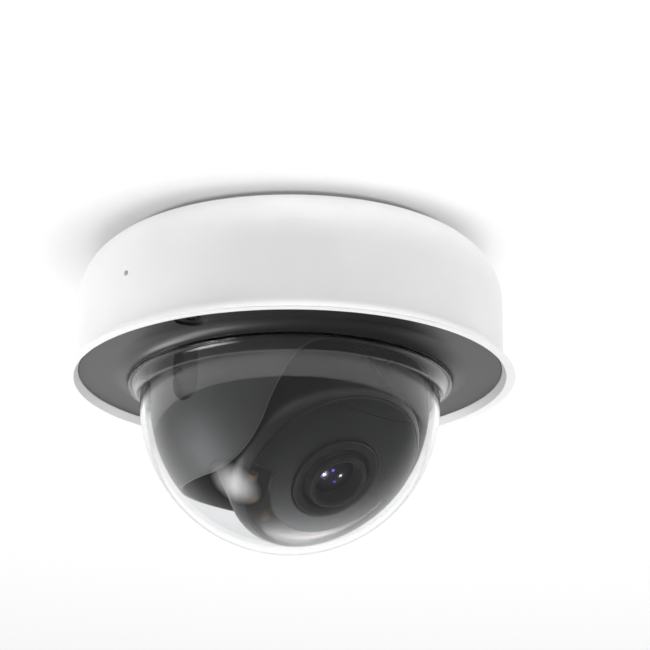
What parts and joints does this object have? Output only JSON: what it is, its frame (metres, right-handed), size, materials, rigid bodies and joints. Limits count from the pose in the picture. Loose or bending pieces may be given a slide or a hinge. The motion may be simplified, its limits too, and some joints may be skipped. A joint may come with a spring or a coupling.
{
  "type": "dome cctv camera",
  "caption": "Ceiling dome security camera: round white housing with a flared lip, dark bezel ring, clear dome and a pan, tilt and roll lens head inside a slotted dark liner.",
  "frame": {"origin": "centre of the mounting plate's ceiling face", "axes": "+Z into the ceiling, dome along -Z, -Y towards the viewer and +X to the viewer's right"},
  "size_m": [0.166, 0.166, 0.1177],
  "materials": {
    "cover_white": "fine matte texture, white",
    "bezel_grey": "satin dark grey",
    "dome_clear": "clear polished polycarbonate",
    "liner_grey": "satin dark grey",
    "head_black": "semi-gloss black",
    "smoked_window": "smoked infrared-pass plastic",
    "lens_black": "matte black",
    "lens_glass": "coated optical glass",
    "steel": "zinc-plated steel",
    "die_cast": "die-cast aluminium",
    "rubber_black": "moulded rubber",
    "board_green": "solder-masked circuit board",
    "chip_black": "moulded chip package",
    "brass": "turned brass",
    "pad_grey": "soft thermal pad",
    "washer_white": "low-friction plastic",
    "button_black": "matte black",
    "cheek_grey": "satin darker grey",
    "trim_grey": "satin mid grey",
    "screw_black": "black oxide steel",
    "led_amber": "diode packages with clear caps",
    "led_clear": "translucent",
    "sensor_face": "sensor under cover glass"
  },
  "bodies": {
    "base": {"mount_plate": "steel", "base_housing": "die_cast", "cover": "cover_white", "bezel": "bezel_grey", "dome": "dome_clear", "dome_gasket": "rubber_black", "dome_retainer": "die_cast", "retainer_screws": "steel", "cover_screws": "screw_black", "housing_seal": "rubber_black", "cable_grommet": "rubber_black", "main_board": "board_green", "board_standoffs": "brass", "board_screws": "steel", "processor": "chip_black", "thermal_pad": "pad_grey", "heat_block": "die_cast", "memory_chips": "chip_black", "power_parts": "chip_black", "network_jack": "steel", "service_board": "board_green", "switch_body": "steel", "status_led": "led_clear", "microphone": "steel", "microphone_boot": "rubber_black", "deck": "die_cast", "deck_screws": "steel", "pan_washer": "washer_white"},
    "reset_plunger": {"reset_button": "button_black"},
    "pan_head": {"turntable": "lens_black", "pan_clip": "steel", "left_yoke_arm": "die_cast", "right_yoke_arm": "die_cast", "yoke_screws": "steel", "tilt_pins": "steel", "tilt_washers": "brass", "shroud": "liner_grey", "cheek_inserts": "cheek_grey", "shroud_screws": "steel"},
    "tilt_frame": {"cradle": "lens_black", "tilt_bushes": "brass"},
    "lens_head": {"lens_carrier": "lens_black", "roll_clip": "steel", "eyeball_shell": "head_black", "face_plate": "head_black", "ir_window": "smoked_window", "sensor_window": "smoked_window", "ir_board": "board_green", "ir_leds": "led_amber", "light_sensor": "board_green", "lens_bezel": "lens_black", "lens_barrel": "lens_black", "front_lens": "lens_glass", "rear_lens": "lens_glass", "sensor_board": "board_green", "image_sensor": "sensor_face", "rear_can": "die_cast"},
    "zoom_gear": {"zoom_ring": "lens_black"},
    "zoom_group": {"zoom_cell": "lens_black"}
  },
  "joints": [
    {"name": "pan", "type": "hinge", "parent": "base", "child": "pan_head", "pos_m": [0, 0, -0.025], "axis": [0, 0, 1], "range_deg": [-175, 175]},
    {"name": "tilt", "type": "hinge", "parent": "pan_head", "child": "tilt_frame", "pos_m": [0, 0, -0.0648], "axis": [0.7431, 0.6691, 0], "range_deg": [-27, 38]},
    {"name": "roll", "type": "hinge", "parent": "tilt_frame", "child": "lens_head", "pos_m": [0, 0, -0.0648], "axis": [0.412, -0.4575, -0.788], "range_deg": [-175, 175]},
    {"name": "zoom_turn", "type": "hinge", "parent": "lens_head", "child": "zoom_gear", "pos_m": [0, 0, -0.0648], "axis": [0.412, -0.4575, -0.788], "range_deg": [0, 60]},
    {"name": "zoom_travel", "type": "slide", "parent": "lens_head", "child": "zoom_group", "axis": [0.412, -0.4575, -0.788], "range_m": [0, 0.0052]},
    {"name": "reset_press", "type": "slide", "parent": "base", "child": "reset_plunger", "axis": [0, 0, 1], "range_m": [0, 0.0005], "stiffness_N_per_m": 300}
  ],
  "couplings": [
    {"joint": "zoom_turn", "follows": "zoom_travel", "rad_per_m": 200}
  ]
}
